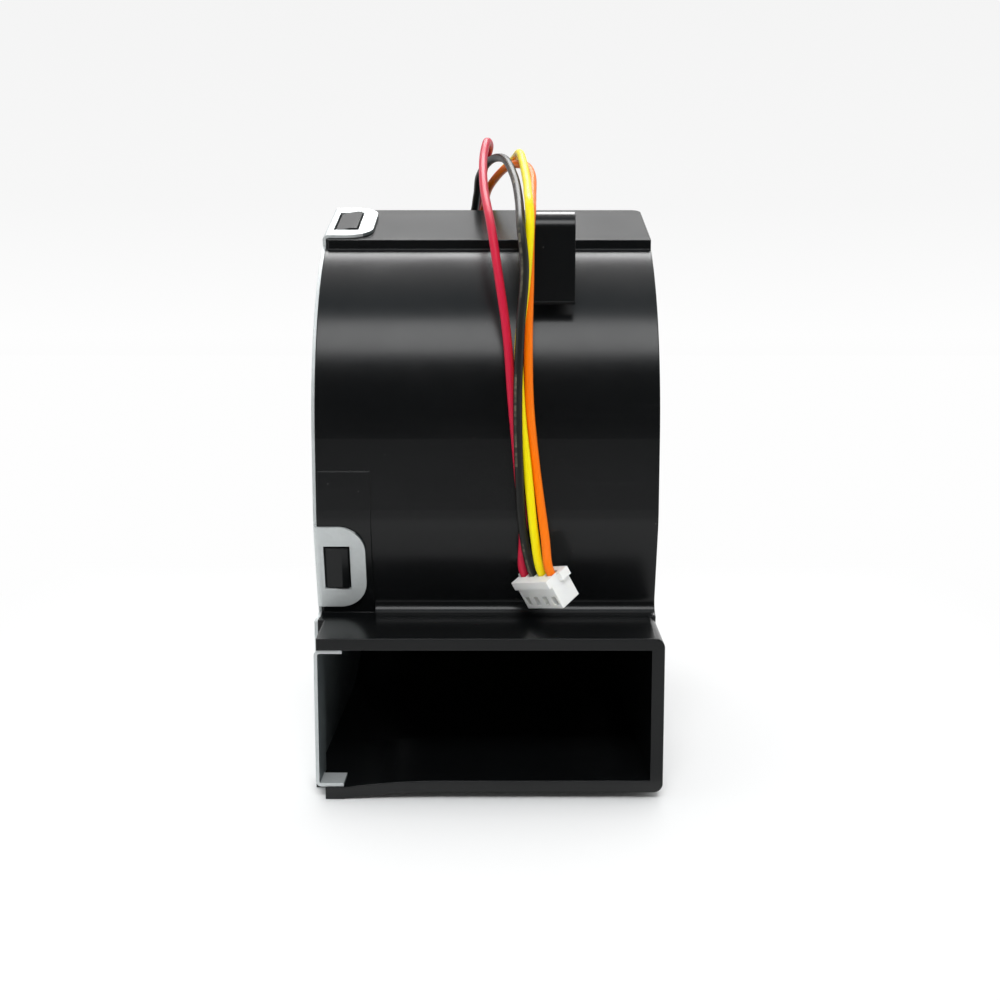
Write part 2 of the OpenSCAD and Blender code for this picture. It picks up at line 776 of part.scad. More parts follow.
// Parts on the board: a at an angle round the shaft, at radius r
module on_board(a, r) {
    translate([x_board, axis_y, axis_z]) rotate([a, 0, 0]) translate([0, r, 0]) children();
}

module driver_chip() {
    color("#1d1d1f") on_board(lead_a + 180, chip_r) translate([0, 0, -chip.z / 2]) cube(chip);
}

module hall_sensor() {
    color("#26262a") on_board(lead_a + 90, hall_r) translate([0, 0, -hall.z / 2]) cube(hall);
}

// The bundle inside: from the board along its spoke to the notch
module inner_leads() {
    color("#4a4a4a") for (i = [0:way_n - 1]) {
        r0 = board_r + lead_gap;
        translate([lead_x, axis_y, axis_z]) rotate([lead_a - 90, 0, 0])
            translate([0, -bundle(i), r0]) cylinder(d = lead_d, h = lead_exit_r - r0);
    }
}

function unit(v) = v / norm(v);
function heading(p, i) = unit(p[min(i + 1, len(p) - 1)] - p[max(i - 1, 0)]);
function across(v, t) = unit(v - (v * t) * t);
function carried(p, i, v) =
    i == len(p) ? []
    : let (m = across(v, heading(p, i))) concat([m], carried(p, i + 1, m));

// A round cord through the points of its route
module cord(route, d) {
    sides = 8;
    n = len(route);
    first = heading(route, 0);
    normals = carried(route, 0, abs(first.z) < 0.9 ? [0, 0, 1] : [1, 0, 0]);
    rings = [for (i = [0:n - 1]) let (t = heading(route, i), u = normals[i], v = cross(t, u))
        for (k = [0:sides - 1]) route[i] + d / 2 * (cos(360 * k / sides) * u + sin(360 * k / sides) * v)];
    walls = [for (i = [0:n - 2], k = [0:sides - 1])
        let (next = (k + 1) % sides)
        [i * sides + k, (i + 1) * sides + k, (i + 1) * sides + next, i * sides + next]];
    ends = [[for (k = [0:sides - 1]) k], [for (k = [sides - 1:-1:0]) (n - 1) * sides + k]];
    polyhedron(points = rings, faces = concat(walls, ends));
}

module lead(i, route, bundle_i) {
    cord(concat(lead_start(bundle_i), route, plug_end(i)), lead_d);
}

module lead_red() color("#c9264a") lead(0, red_route, 1);
module lead_black() color("#2b2b2b") lead(1, black_route, 0);
module lead_yellow() color("#ffe600") lead(2, yellow_route, 3);
module lead_orange() color("#ff7f11") lead(3, orange_route, 2);

module on_plug() {
    translate(plug_pos) rotate([plug_lean, plug_tilt, plug_yaw]) children();
}

module connector_housing() {
    z1 = plug_h / 2;
    deep = lead_in + contact_l + contact_c;
    color("#f2f2ee") on_plug() difference() {
        union() {
            translate([-plug_l / 2, -plug_d / 2, -z1]) cube([plug_l, plug_d, plug_h]);
            translate([-plug_l / 2 - wing_l, 0, z1 - wing_h])
                cube([plug_l + 2 * wing_l, plug_d / 2, wing_h]);
            translate([-plug_l / 2, -plug_d / 2 - plug_rib, z1 - wing_h]) cube([plug_l, plug_d, wing_h]);
        }
        for (i = [0:way_n - 1]) translate([way_x(i), 0, 0]) {
            translate([-way_w / 2, -way_w / 2, z1 - deep]) cube([way_w, way_w, deep + cut]);
            translate([-lance.x / 2, -plug_d / 2 - cut, z1 - deep])
                cube([lance.x, plug_d / 2 + cut, lance.y]);
            translate([-pin_w / 2, -pin_w / 2, -z1 - cut]) cube([pin_w, pin_w, plug_h]);
        }
    }
}

module connector_contacts() {
    z0 = plug_h / 2 - lead_in - contact_l;
    color("#c9b458") on_plug() for (i = [0:way_n - 1]) translate([way_x(i), 0, z0]) difference() {
        translate([-contact_w / 2, -contact_w / 2, 0]) cube([contact_w, contact_w, contact_l]);
        translate([-pin_w / 2, -pin_w / 2, -cut]) cube([pin_w, pin_w, contact_l]);
    }
}

// A forward-curved blade, seen along the shaft
module blade_2d() {
    r1 = fan_r - blade_tip_in;
    line = [for (k = [0:blade_steps]) let (s = k / blade_steps)
        [blade_in_r + (r1 - blade_in_r) * s, blade_sweep * pow(s, blade_bend)]];
    skin = [for (side = [-1, 1]) [for (p = line)
        let (a = p[1] + side * blade_t / 2 / p[0] * 180 / PI) p[0] * [cos(a), sin(a)]]];
    polygon(concat(skin[0], [for (k = [blade_steps:-1:0]) skin[1][k]]));
}

// One side of the cage: the blades on the web and the ring over their ends
module blade_cage(x0, x1, x_rim) {
    span = (fan_r - rim_w - blade_in_r) / (fan_r - blade_tip_in - blade_in_r);
    slit_a = blade_sweep * pow(span, blade_bend) / 2;
    color("#1b1c1e") difference() {
        union() {
            on_axis(x0) linear_extrude(x1 - x0)
                for (k = [0:seg_n * blade_n - 1]) rotate(blade_pitch * k) blade_2d();
            ring(x_rim, x_rim + rim_t, fan_r, fan_r - rim_w);
        }
        on_axis(x_rim - cut) for (k = [0:seg_n - 1]) rotate([0, 0, slit_a + 360 * k / seg_n])
            translate([fan_r - rim_w - cut, -seg_c / 2, 0]) cube([rim_w + 2 * cut, seg_c, rim_t + 2 * cut]);
    }
}

module blades_plate() blade_cage(x_wheel0, x_web0, x_wheel0);
module blades_eye() blade_cage(x_web1, x_wheel1, x_wheel1 - rim_t);

module impeller() {
    color("#1b1c1e") {
        ring(x_web0, x_web1, fan_r, boss_r + press_c);
        ring(x_cup0 + hub_set, x_web1, hub_r, hub_in_r);
    }
}

module rotor_cup() {
    color("#8b8f93") {
        ring(x_cup0, x_cup1, cup_r, cup_in_r);
        ring(x_cup1 - cup_t, x_cup1, cup_r, boss_r + press_c);
    }
}

module rotor_magnet() {
    color("#3d3a38") ring(x_cup0 + magnet_set, x_stack1 + insul_t + coil_t, cup_in_r - press_c, magnet_in_r);
}

module shaft_boss() {
    color("#b5933f") ring(x_boss0, x_boss1, boss_r, shaft_r + press_c);
}

module shaft() {
    color("#d5d8db") difference() {
        disc(x_shaft0, x_boss1, shaft_r);
        ring(x_clip, x_clip + clip_t, shaft_r + cut, shaft_r - clip_depth);
    }
}

// Coil spring between the turning boss and the inner bearing
module preload_spring() {
    x0 = x_tube1 + spring_d / 2 + clip_c;
    x1 = x_boss0 - spring_d / 2 - press_c;
    n = spring_steps * spring_turns;
    color("#9a9da1") cord([for (k = [0:n]) let (a = 360 * spring_turns * k / n)
        [x0 + (x1 - x0) * k / n, axis_y + spring_r * cos(a), axis_z + spring_r * sin(a)]], spring_d);
}

module thrust_washer() {
    color("#e8e4da") ring(x_washer, x_washer + washer_t, tube_in_r - washer_c, shaft_r + press_c);
}

module retaining_clip() {
    color("#77797c") difference() {
        ring(x_clip + press_c, x_clip + clip_t - press_c, tube_in_r - washer_c,
            shaft_r - clip_depth + press_c);
        translate([x_clip - cut, axis_y, axis_z - clip_mouth / 2])
            cube([clip_t + 2 * cut, tube_in_r, clip_mouth]);
    }
}

housing();
cover_plate();
bearing_tube();
tube_cap();
bearing(x_bearing0);  // bearing_outer
bearing(x_bearing1);  // bearing_inner
stator_core();
insulator_outer();
insulator_inner();
stator_windings();
circuit_board();
driver_chip();
hall_sensor();
inner_leads();
lead_red();
lead_black();
lead_yellow();
lead_orange();
connector_housing();
connector_contacts();
impeller();
blades_plate();
blades_eye();
rotor_cup();
rotor_magnet();
shaft_boss();
shaft();
preload_spring();
thrust_washer();
retaining_clip();
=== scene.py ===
import math

import bpy
from mathutils import Euler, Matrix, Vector


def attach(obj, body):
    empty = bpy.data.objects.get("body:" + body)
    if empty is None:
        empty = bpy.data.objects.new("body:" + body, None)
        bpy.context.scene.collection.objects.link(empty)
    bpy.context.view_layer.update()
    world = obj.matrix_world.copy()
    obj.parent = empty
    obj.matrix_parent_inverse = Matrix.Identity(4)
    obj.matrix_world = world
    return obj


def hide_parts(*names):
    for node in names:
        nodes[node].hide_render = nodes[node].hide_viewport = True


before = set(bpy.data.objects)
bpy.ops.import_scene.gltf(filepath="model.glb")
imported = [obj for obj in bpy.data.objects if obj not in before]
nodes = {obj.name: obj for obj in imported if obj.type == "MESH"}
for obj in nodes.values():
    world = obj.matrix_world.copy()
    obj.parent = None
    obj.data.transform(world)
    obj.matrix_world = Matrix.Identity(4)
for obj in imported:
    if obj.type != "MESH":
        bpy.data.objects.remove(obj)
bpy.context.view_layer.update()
mm = 0.001
scene = bpy.context.scene
scene.view_settings.view_transform = "Standard"
print("frame loaded:", len(nodes), "nodes")

# Camera at the photograph's place (place, lens and sensor in mm, pitch in degrees below level)
camera = {"place": (2.1, -214.75, 66.2), "pitch": 7.5, "lens": 45, "sensor": 36, "clip": (0.005, 20)}
camData = bpy.data.cameras.new("camera")
camData.lens = camera["lens"]
camData.sensor_width = camera["sensor"]
camData.clip_start, camData.clip_end = camera["clip"]
camObject = bpy.data.objects.new("camera", camData)
camObject.location = [v * mm for v in camera["place"]]
camObject.rotation_euler = (math.radians(90 - camera["pitch"]), 0, 0)
scene.collection.objects.link(camObject)
scene.camera = camObject
print("camera placed")


# Node helpers: feed() takes a socket to link, or a value to set
def addNode(tree, kind, values=None, **props):
    node = tree.nodes.new(kind)
    for key, value in props.items():
        setattr(node, key, value)
    for key, value in (values or {}).items():
        node.inputs[key].default_value = value
    return node


def link(tree, fromSocket, toSocket):
    tree.links.new(fromSocket, toSocket)


def feed(tree, socket, value):
    if isinstance(value, bpy.types.NodeSocket):
        link(tree, value, socket)
    elif isinstance(value, (int, float)):
        socket.default_value = value
    else:
        socket.default_value = (*value, 1)


def mathNode(tree, operation, *values, clamp=False):
    node = addNode(tree, "ShaderNodeMath", operation=operation, use_clamp=clamp)
    for socket, value in zip(node.inputs, values):
        feed(tree, socket, value)
    return node.outputs[0]


# The sockets of a Mix node that belong to colours
mixSlots = {"factor": 0, "a": 6, "b": 7, "result": 2}


def mixColor(tree, factor, a, b, blend="MIX"):
    node = addNode(tree, "ShaderNodeMix", data_type="RGBA", blend_type=blend)
    for slot, value in (("factor", factor), ("a", a), ("b", b)):
        feed(tree, node.inputs[mixSlots[slot]], value)
    return node.outputs[mixSlots["result"]]


def rampNode(tree, factor, stops):
    node = addNode(tree, "ShaderNodeValToRGB")
    elements = node.color_ramp.elements
    while len(elements) < len(stops):
        elements.new(0.5)
    for element, (position, value) in zip(elements, stops):
        element.position = position
        element.color = (*value, 1) if isinstance(value, tuple) else (value, value, value, 1)
    link(tree, factor, node.inputs[0])
    return node.outputs[0]


def rangeNode(tree, value, fromRange, **props):
    node = addNode(tree, "ShaderNodeMapRange", {"From Min": fromRange[0], "From Max": fromRange[1]}, **props)
    link(tree, value, node.inputs["Value"])
    return node


def noiseNode(tree, vector, scale, detail=3.0, rough=0.55):
    node = addNode(tree, "ShaderNodeTexNoise", {"Scale": scale, "Detail": detail, "Roughness": rough})
    link(tree, vector, node.inputs["Vector"])
    return node.outputs[0]


def stretchNode(tree, vector, scale):
    node = addNode(tree, "ShaderNodeMapping", {"Scale": scale})
    link(tree, vector, node.inputs["Vector"])
    return node.outputs[0]


def splitNode(tree, vector):
    node = addNode(tree, "ShaderNodeSeparateXYZ")
    link(tree, vector, node.inputs[0])
    return node.outputs


def newGroup(name, inputs, outputs):
    tree = bpy.data.node_groups.new(name, "ShaderNodeTree")
    for label, kind, value in inputs:
        socket = tree.interface.new_socket(label, in_out="INPUT", socket_type=kind)
        if value is not None:
            socket.default_value = value
    for label, kind in outputs:
        tree.interface.new_socket(label, in_out="OUTPUT", socket_type=kind)
    return tree, tree.nodes.new("NodeGroupInput"), tree.nodes.new("NodeGroupOutput")


def useGroup(tree, group, values):
    node = addNode(tree, "ShaderNodeGroup", node_tree=group)
    for key, value in values.items():
        feed(tree, node.inputs[key], value)
    return node


# Rounded edges and a mask of where they are
edgeRounding = {"radius": 0.0002, "samples": 6, "gain": 4.0}
edgeGroup, gIn, gOut = newGroup(
    "edgeRounding",
    [("Radius", "NodeSocketFloat", edgeRounding["radius"])],
    [("Normal", "NodeSocketVector"), ("Edge", "NodeSocketFloat")],
)
bevel = addNode(edgeGroup, "ShaderNodeBevel", samples=edgeRounding["samples"])
link(edgeGroup, gIn.outputs["Radius"], bevel.inputs["Radius"])
geometry = addNode(edgeGroup, "ShaderNodeNewGeometry")
dot = addNode(edgeGroup, "ShaderNodeVectorMath", operation="DOT_PRODUCT")
link(edgeGroup, bevel.outputs[0], dot.inputs[0])
link(edgeGroup, geometry.outputs["Normal"], dot.inputs[1])
bend = mathNode(edgeGroup, "SUBTRACT", 1.0, dot.outputs["Value"])
edge = mathNode(edgeGroup, "MULTIPLY", bend, edgeRounding["gain"], clamp=True)
link(edgeGroup, bevel.outputs[0], gOut.inputs["Normal"])
link(edgeGroup, edge, gOut.inputs["Edge"])

# Fine grain over a slow waviness, as a normal
mouldGrain = {"fine": 6000.0, "slow": 120.0, "fineDepth": 0.000003, "slowDepth": 0.00002,
              "layers": [("Slow", 1.0), ("Fine", 2.0)]}
grainGroup, gIn, gOut = newGroup(
    "mouldGrain",
    [("Vector", "NodeSocketVector", None), ("Normal", "NodeSocketVector", None),
     ("Fine", "NodeSocketFloat", mouldGrain["fine"]), ("Slow", "NodeSocketFloat", mouldGrain["slow"]),
     ("Fine Depth", "NodeSocketFloat", mouldGrain["fineDepth"]),
     ("Slow Depth", "NodeSocketFloat", mouldGrain["slowDepth"])],
    [("Normal", "NodeSocketVector")],
)
normal = gIn.outputs["Normal"]
for label, detail in mouldGrain["layers"]:
    noise = addNode(grainGroup, "ShaderNodeTexNoise", {"Detail": detail})
    link(grainGroup, gIn.outputs["Vector"], noise.inputs["Vector"])
    link(grainGroup, gIn.outputs[label], noise.inputs["Scale"])
    bump = addNode(grainGroup, "ShaderNodeBump", {"Strength": 1.0})
    link(grainGroup, noise.outputs[0], bump.inputs["Height"])
    link(grainGroup, gIn.outputs[label + " Depth"], bump.inputs["Distance"])
    link(grainGroup, normal, bump.inputs["Normal"])
    normal = bump.outputs[0]
link(grainGroup, normal, gOut.inputs["Normal"])

# Traces of handling: cloudy smudges, specks of dust and faint streaks (noise as scale, detail, roughness)
handling = {
    "low": 0.2, "high": 0.3, "cloud": (90.0, 4.0, 0.6), "cloudRange": (0.3, 0.7),
    "specks": 700.0, "speckSize": 0.05, "patches": (160.0, 2.0), "patchLevel": 0.6,
    "draw": (28, 900, 900), "streaks": (1.0, 1.0), "streakRange": (0.67, 0.8),
}
handlingGroup, gIn, gOut = newGroup(
    "handling",
    [("Vector", "NodeSocketVector", None), ("Low", "NodeSocketFloat", handling["low"]),
     ("High", "NodeSocketFloat", handling["high"])],
    [("Roughness", "NodeSocketFloat"), ("Dust", "NodeSocketFloat"), ("Streak", "NodeSocketFloat")],
)
place = gIn.outputs["Vector"]
spread = rangeNode(handlingGroup, noiseNode(handlingGroup, place, *handling["cloud"]), handling["cloudRange"])
link(handlingGroup, gIn.outputs["Low"], spread.inputs["To Min"])
link(handlingGroup, gIn.outputs["High"], spread.inputs["To Max"])
link(handlingGroup, spread.outputs[0], gOut.inputs["Roughness"])
speck = addNode(handlingGroup, "ShaderNodeTexVoronoi", {"Scale": handling["specks"], "Randomness": 1.0})
link(handlingGroup, place, speck.inputs["Vector"])
near = mathNode(handlingGroup, "LESS_THAN", speck.outputs["Distance"], handling["speckSize"])
patches = noiseNode(handlingGroup, place, *handling["patches"])
some = mathNode(handlingGroup, "GREATER_THAN", patches, handling["patchLevel"])
link(handlingGroup, mathNode(handlingGroup, "MULTIPLY", near, some), gOut.inputs["Dust"])
drawn = noiseNode(handlingGroup, stretchNode(handlingGroup, place, handling["draw"]), *handling["streaks"])
thin = rangeNode(handlingGroup, drawn, handling["streakRange"])
link(handlingGroup, thin.outputs[0], gOut.inputs["Streak"])
print("shader groups made")


def newMaterial(name):
    material = bpy.data.materials.new(name)
    material.use_nodes = True
    tree = material.node_tree
    shader = tree.nodes["Principled BSDF"]
    vector = addNode(tree, "ShaderNodeTexCoord").outputs["Object"]
    return material, tree, shader, vector


def handlingMarks(tree, vector, rough):
    return useGroup(tree, handlingGroup, {"Low": rough[0], "High": rough[1], "Vector": vector})


def overlay(tree, mask, share, base, color):
    return mixColor(tree, mathNode(tree, "MULTIPLY", mask, share), base, color)


def finishShader(tree, shader, color, rough, normal, sockets):
    link(tree, color, shader.inputs["Base Color"])
    link(tree, rough, shader.inputs["Roughness"])
    link(tree, normal, shader.inputs["Normal"])
    for key, value in sockets.items():
        shader.inputs[key].default_value = value


# What a plastic has unless its own dictionary says otherwise
plasticUsual = {
    "ior": 1.5, "edge": 0.0002, "fine": 6000.0, "fineDepth": 0.000002, "slow": 120.0, "slowDepth": 0.00001,
    "tintScale": 300.0, "wear": 0.25, "dust": 0.0, "dustColor": (0.55, 0.54, 0.52), "streak": 0.0, "sockets": {},
}


def plastic(ownLook):
    look = {**plasticUsual, **ownLook}
    material, tree, shader, vector = newMaterial(look["name"])
    shader.inputs["IOR"].default_value = look["ior"]
    edges = useGroup(tree, edgeGroup, {"Radius": look["edge"]})
    grain = useGroup(tree, grainGroup, {
        "Fine": look["fine"], "Fine Depth": look["fineDepth"], "Slow": look["slow"], "Slow Depth": look["slowDepth"],
        "Vector": vector, "Normal": edges.outputs["Normal"]})
    marks = handlingMarks(tree, vector, look["rough"])
    color = mixColor(tree, noiseNode(tree, vector, look["tintScale"]), look["dark"], look["light"])
    color = overlay(tree, edges.outputs["Edge"], look["wear"], color, look["worn"])
    color = overlay(tree, marks.outputs["Dust"], look["dust"], color, look["dustColor"])
    color = overlay(tree, marks.outputs["Streak"], look["streak"], color, look["worn"])
    finishShader(tree, shader, color, marks.outputs["Roughness"], grain.outputs[0], look["sockets"])
    return material


# What a metal has unless its own dictionary says otherwise
metalUsual = {
    "metallic": 1.0, "edge": 0.0001, "stretch": (1, 1, 1), "streak": 900.0, "streakDetail": 2.0, "depth": 0.000002,
    "wear": 0.3,
}


def metal(ownLook):
    look = {**metalUsual, **ownLook}
    material, tree, shader, vector = newMaterial(look["name"])
    edges = useGroup(tree, edgeGroup, {"Radius": look["edge"]})
    marks = handlingMarks(tree, vector, look["rough"])
    streak = noiseNode(tree, stretchNode(tree, vector, look["stretch"]), look["streak"], look["streakDetail"])
    bump = addNode(tree, "ShaderNodeBump", {"Strength": 1.0, "Distance": look["depth"]})
    link(tree, streak, bump.inputs["Height"])
    link(tree, edges.outputs["Normal"], bump.inputs["Normal"])
    color = mixColor(tree, streak, look["dark"], look["light"])
    rough = marks.outputs["Roughness"]
    if "spangle" in look:
        cells = addNode(tree, "ShaderNodeTexVoronoi", {"Scale": look["spangle"], "Randomness": 1.0})
        link(tree, vector, cells.inputs["Vector"])
        tone = rampNode(tree, cells.outputs["Color"], look["spangleTone"])
        color = mixColor(tree, 1.0, color, tone, "MULTIPLY")
        rough = mathNode(tree, "ADD", rough, mathNode(tree, "MULTIPLY", cells.outputs["Color"], look["spangleRough"]))
    color = overlay(tree, edges.outputs["Edge"], look["wear"], color, look["worn"])
    # Painted shade: faces whose normal points along +X, towards the wheel, get a darker colour in place of the shade
    # inside the duct
    if "paintedShadeColor" in look:
        facing = splitNode(tree, addNode(tree, "ShaderNodeNewGeometry").outputs["True Normal"])
        paintedShadeMask = mathNode(tree, "GREATER_THAN", facing["X"], look["paintedShadeFacing"])
        color = mixColor(tree, paintedShadeMask, color, look["paintedShadeColor"])
    finishShader(tree, shader, color, rough, bump.outputs[0], {"Metallic": look["metallic"]})
    return material


def dress(names, material):
    for name in names:
        mesh = nodes[name].data
        mesh.materials.clear()
        mesh.materials.append(material)


# Moulded black housing, satin to glossy
housing = {
    "name": "housingPlastic", "dark": (0.0026, 0.003, 0.0032), "light": (0.0042, 0.0047, 0.005),
    "worn": (0.026, 0.027, 0.028), "rough": (0.19, 0.25), "edge": 0.00025, "wear": 0.1, "dust": 0.12,
    "streak": 0.14, "ior": 1.45, "fineDepth": 0.0000012, "slowDepth": 0.00002, "slow": 70.0,
}
dress(["housing"], plastic(housing))

# Zinc-coated sheet with a faint spangle, and painted shade on the side that faces the wheel: a darker colour stands
# in for the shade inside the duct
plate = {
    "name": "zincSheet", "dark": (0.6, 0.63, 0.63), "light": (0.68, 0.71, 0.71), "worn": (0.85, 0.87, 0.87),
    "metallic": 0.4, "rough": (0.4, 0.52), "edge": 0.00012, "streak": 1500.0, "depth": 0.0000015,
    "spangle": 420.0, "spangleTone": [(0.0, 0.93), (1.0, 1.0)], "spangleRough": 0.08,
    # painted shade: the darker colour for the faces turned towards the wheel
    "paintedShadeColor": (0.17, 0.195, 0.2), "paintedShadeFacing": 0.6,
}
dress(["cover_plate"], metal(plate))

# Fan wheel, a duller moulding
wheel = {
    "name": "wheelPlastic", "dark": (0.01, 0.01, 0.011), "light": (0.016, 0.016, 0.017),
    "worn": (0.05, 0.05, 0.052), "rough": (0.38, 0.5), "edge": 0.00012, "wear": 0.3, "dust": 0.5,
    "fineDepth": 0.000004,
}
dress(["impeller", "blades_plate", "blades_eye"], plastic(wheel))

# Motor parts
cup = {"name": "cupSteel", "dark": (0.45, 0.46, 0.47), "light": (0.56, 0.57, 0.58), "worn": (0.75, 0.76, 0.77),
       "rough": (0.3, 0.4), "stretch": (30, 1, 1), "streak": 400.0}
dress(["rotor_cup"], metal(cup))
brass = {"name": "brass", "dark": (0.58, 0.42, 0.17), "light": (0.7, 0.53, 0.24), "worn": (0.82, 0.68, 0.38),
         "rough": (0.24, 0.34), "stretch": (20, 1, 1), "streak": 500.0}
dress(["bearing_tube", "shaft_boss"], metal(brass))
bronze = {"name": "sinteredBronze", "dark": (0.3, 0.2, 0.1), "light": (0.46, 0.34, 0.19), "worn": (0.6, 0.46, 0.28),
          "rough": (0.45, 0.6), "streak": 4000.0, "depth": 0.00001}
dress(["bearing_outer", "bearing_inner"], metal(bronze))
ground = {"name": "groundSteel", "dark": (0.62, 0.63, 0.65), "light": (0.74, 0.75, 0.77), "worn": (0.85, 0.86, 0.87),
          "rough": (0.16, 0.24), "stretch": (25, 1, 1), "streak": 600.0}
dress(["shaft", "preload_spring", "retaining_clip"], metal(ground))
stack = {"name": "laminations", "dark": (0.2, 0.21, 0.22), "light": (0.5, 0.51, 0.53), "worn": (0.6, 0.61, 0.62),
         "rough": (0.4, 0.5), "stretch": (2000, 1, 1), "streak": 1.0, "depth": 0.00002}
dress(["stator_core"], metal(stack))
coil = {"name": "copperWire", "dark": (0.45, 0.16, 0.06), "light": (0.66, 0.29, 0.12), "worn": (0.75, 0.4, 0.2),
        "rough": (0.25, 0.35), "streak": 3000.0, "depth": 0.00003}
dress(["stator_windings"], metal(coil))
tin = {"name": "tinPlate", "dark": (0.68, 0.66, 0.6), "light": (0.78, 0.76, 0.7), "worn": (0.85, 0.84, 0.8),
       "rough": (0.25, 0.35), "streak": 2000.0}
dress(["connector_contacts"], metal(tin))
ferrite = {"name": "ferrite", "dark": (0.05, 0.047, 0.045), "light": (0.09, 0.085, 0.08), "worn": (0.14, 0.13, 0.13),
           "rough": (0.55, 0.7), "fineDepth": 0.00001}
dress(["rotor_magnet"], plastic(ferrite))
insulator = {"name": "insulatorPlastic", "dark": (0.7, 0.66, 0.54), "light": (0.76, 0.73, 0.62),
             "worn": (0.82, 0.8, 0.72), "rough": (0.45, 0.55)}
dress(["insulator_outer", "insulator_inner"], plastic(insulator))
washer = {"name": "washerPlastic", "dark": (0.78, 0.75, 0.66), "light": (0.84, 0.82, 0.74), "worn": (0.9, 0.88, 0.82),
          "rough": (0.35, 0.45)}
dress(["thrust_washer"], plastic(washer))
board = {"name": "boardLaminate", "dark": (0.02, 0.12, 0.045), "light": (0.03, 0.17, 0.065), "worn": (0.3, 0.32, 0.2),
         "rough": (0.25, 0.35), "tintScale": 900.0, "fineDepth": 0.000005, "fine": 3000.0}
dress(["circuit_board"], plastic(board))
resin = {"name": "chipResin", "dark": (0.018, 0.018, 0.019), "light": (0.026, 0.026, 0.027),
         "worn": (0.06, 0.06, 0.06), "rough": (0.5, 0.62), "fineDepth": 0.000006}
dress(["driver_chip", "hall_sensor"], plastic(resin))
rubber = {"name": "capRubber", "dark": (0.02, 0.02, 0.02), "light": (0.03, 0.03, 0.03), "worn": (0.06, 0.06, 0.06),
          "rough": (0.6, 0.75), "fineDepth": 0.00001}
dress(["tube_cap"], plastic(rubber))

# White nylon connector
connector = {
    "name": "connectorNylon", "dark": (0.86, 0.86, 0.83), "light": (0.9, 0.9, 0.88), "worn": (0.93, 0.93, 0.92),
    "rough": (0.3, 0.4),
    "sockets": {"Subsurface Weight": 0.3, "Subsurface Scale": 0.0008, "Subsurface Radius": (1.0, 0.9, 0.75)},
}
dress(["connector_housing"], plastic(connector))
print("CAD nodes dressed")

# Free leads from the rim's notch to the connector: ends as in the part's source, routes laid to the photograph (mm)
leadShape = {
    "diameter": 1.3, "sides": 20, "step": 0.5, "x": -24.3, "axis": (-0.35, 48.2), "angle": 64, "exit": 39.0,
    "rise": 1.6, "pitch": 1.5, "middle": 1.5,
}
plug = {
    "place": (8.8, -35.4, 29.7), "turn": (28, -10, -52), "height": 4.9, "pitch": 2.0, "middle": 1.5,
    "straight": 0.8, "inside": 1.6,
}


def bundlePoint(place, radius):
    angle = math.radians(leadShape["angle"])
    off = (leadShape["middle"] - place) * leadShape["pitch"]
    axisY, axisZ = leadShape["axis"]
    return Vector((leadShape["x"], axisY + radius * math.cos(angle) - off * math.sin(angle),
                   axisZ + radius * math.sin(angle) + off * math.cos(angle)))


def wayPoint(way, height):
    turn = Euler([math.radians(v) for v in plug["turn"]]).to_matrix()
    return Vector(plug["place"]) + turn @ Vector(((way - plug["middle"]) * plug["pitch"], 0, height))


# A centripetal spline through the points
def smoothPath(points, step):
    path, shortest = [], 1e-6
    for i in range(len(points) - 1):
        p0, p1, p2 = points[max(i - 1, 0)], points[i], points[i + 1]
        p3 = points[min(i + 2, len(points) - 1)]
        t01, t12, t23 = (max((b - a).length, shortest) ** 0.5 for a, b in ((p0, p1), (p1, p2), (p2, p3)))
        m1 = (p2 - p1) if p0 == p1 else (p2 - p1) + t12 * ((p1 - p0) / t01 - (p2 - p0) / (t01 + t12))
        m2 = (p2 - p1) if p2 == p3 else (p2 - p1) + t12 * ((p3 - p2) / t23 - (p3 - p1) / (t12 + t23))
        count = max(2, round((p2 - p1).length / step))
        for k in range(count):
            s = k / count
            path.append((2 * s**3 - 3 * s**2 + 1) * p1 + (s**3 - 2 * s**2 + s) * m1
                        + (3 * s**2 - 2 * s**3) * p2 + (s**3 - s**2) * m2)
    path.append(points[-1].copy())
    return path


# A closed tube along a path, with its run and its way round as UV
def tubeMesh(name, path, radius, sides):
    last = len(path) - 1
    tangents = [(path[min(i + 1, last)] - path[max(i - 1, 0)]).normalized() for i in range(len(path))]
    normal = tangents[0].orthogonal().normalized()
    along, verts, lengths = 0.0, [], []
    for i, point in enumerate(path):
        if i:
            along += (point - path[i - 1]).length
            normal = (normal - normal.dot(tangents[i]) * tangents[i]).normalized()
        side = tangents[i].cross(normal)
        for k in range(sides):
            a = 2 * math.pi * k / sides
            verts.append(point + radius * (math.cos(a) * normal + math.sin(a) * side))
        lengths.append(along)
    faces = [(i * sides + k, i * sides + (k + 1) % sides, (i + 1) * sides + (k + 1) % sides, (i + 1) * sides + k)
             for i in range(last) for k in range(sides)]
    faces += [tuple(range(sides - 1, -1, -1)), tuple(last * sides + k for k in range(sides))]
    mesh = bpy.data.meshes.new(name)
    mesh.from_pydata(verts, [], faces)
    layer = mesh.uv_layers.new(name="run")
    for polygon in mesh.polygons:
        for corner in polygon.loop_indices:
            ring, k = divmod(mesh.loops[corner].vertex_index, sides)
            wraps = polygon.index < last * sides and k == 0 and polygon.index % sides == sides - 1
            layer.data[corner].uv = (lengths[ring], 1.0 if wraps else k / sides)
        polygon.use_smooth = len(polygon.vertices) == 4
    return mesh, along


# What a sleeve has unless its own dictionary says otherwise
sleeveUsual = {
    "rough": (0.36, 0.46), "tintScale": 240.0, "sockets": {},
    "grain": {"Fine": 2500.0, "Fine Depth": 0.000006, "Slow": 260.0, "Slow Depth": 0.00004},
}


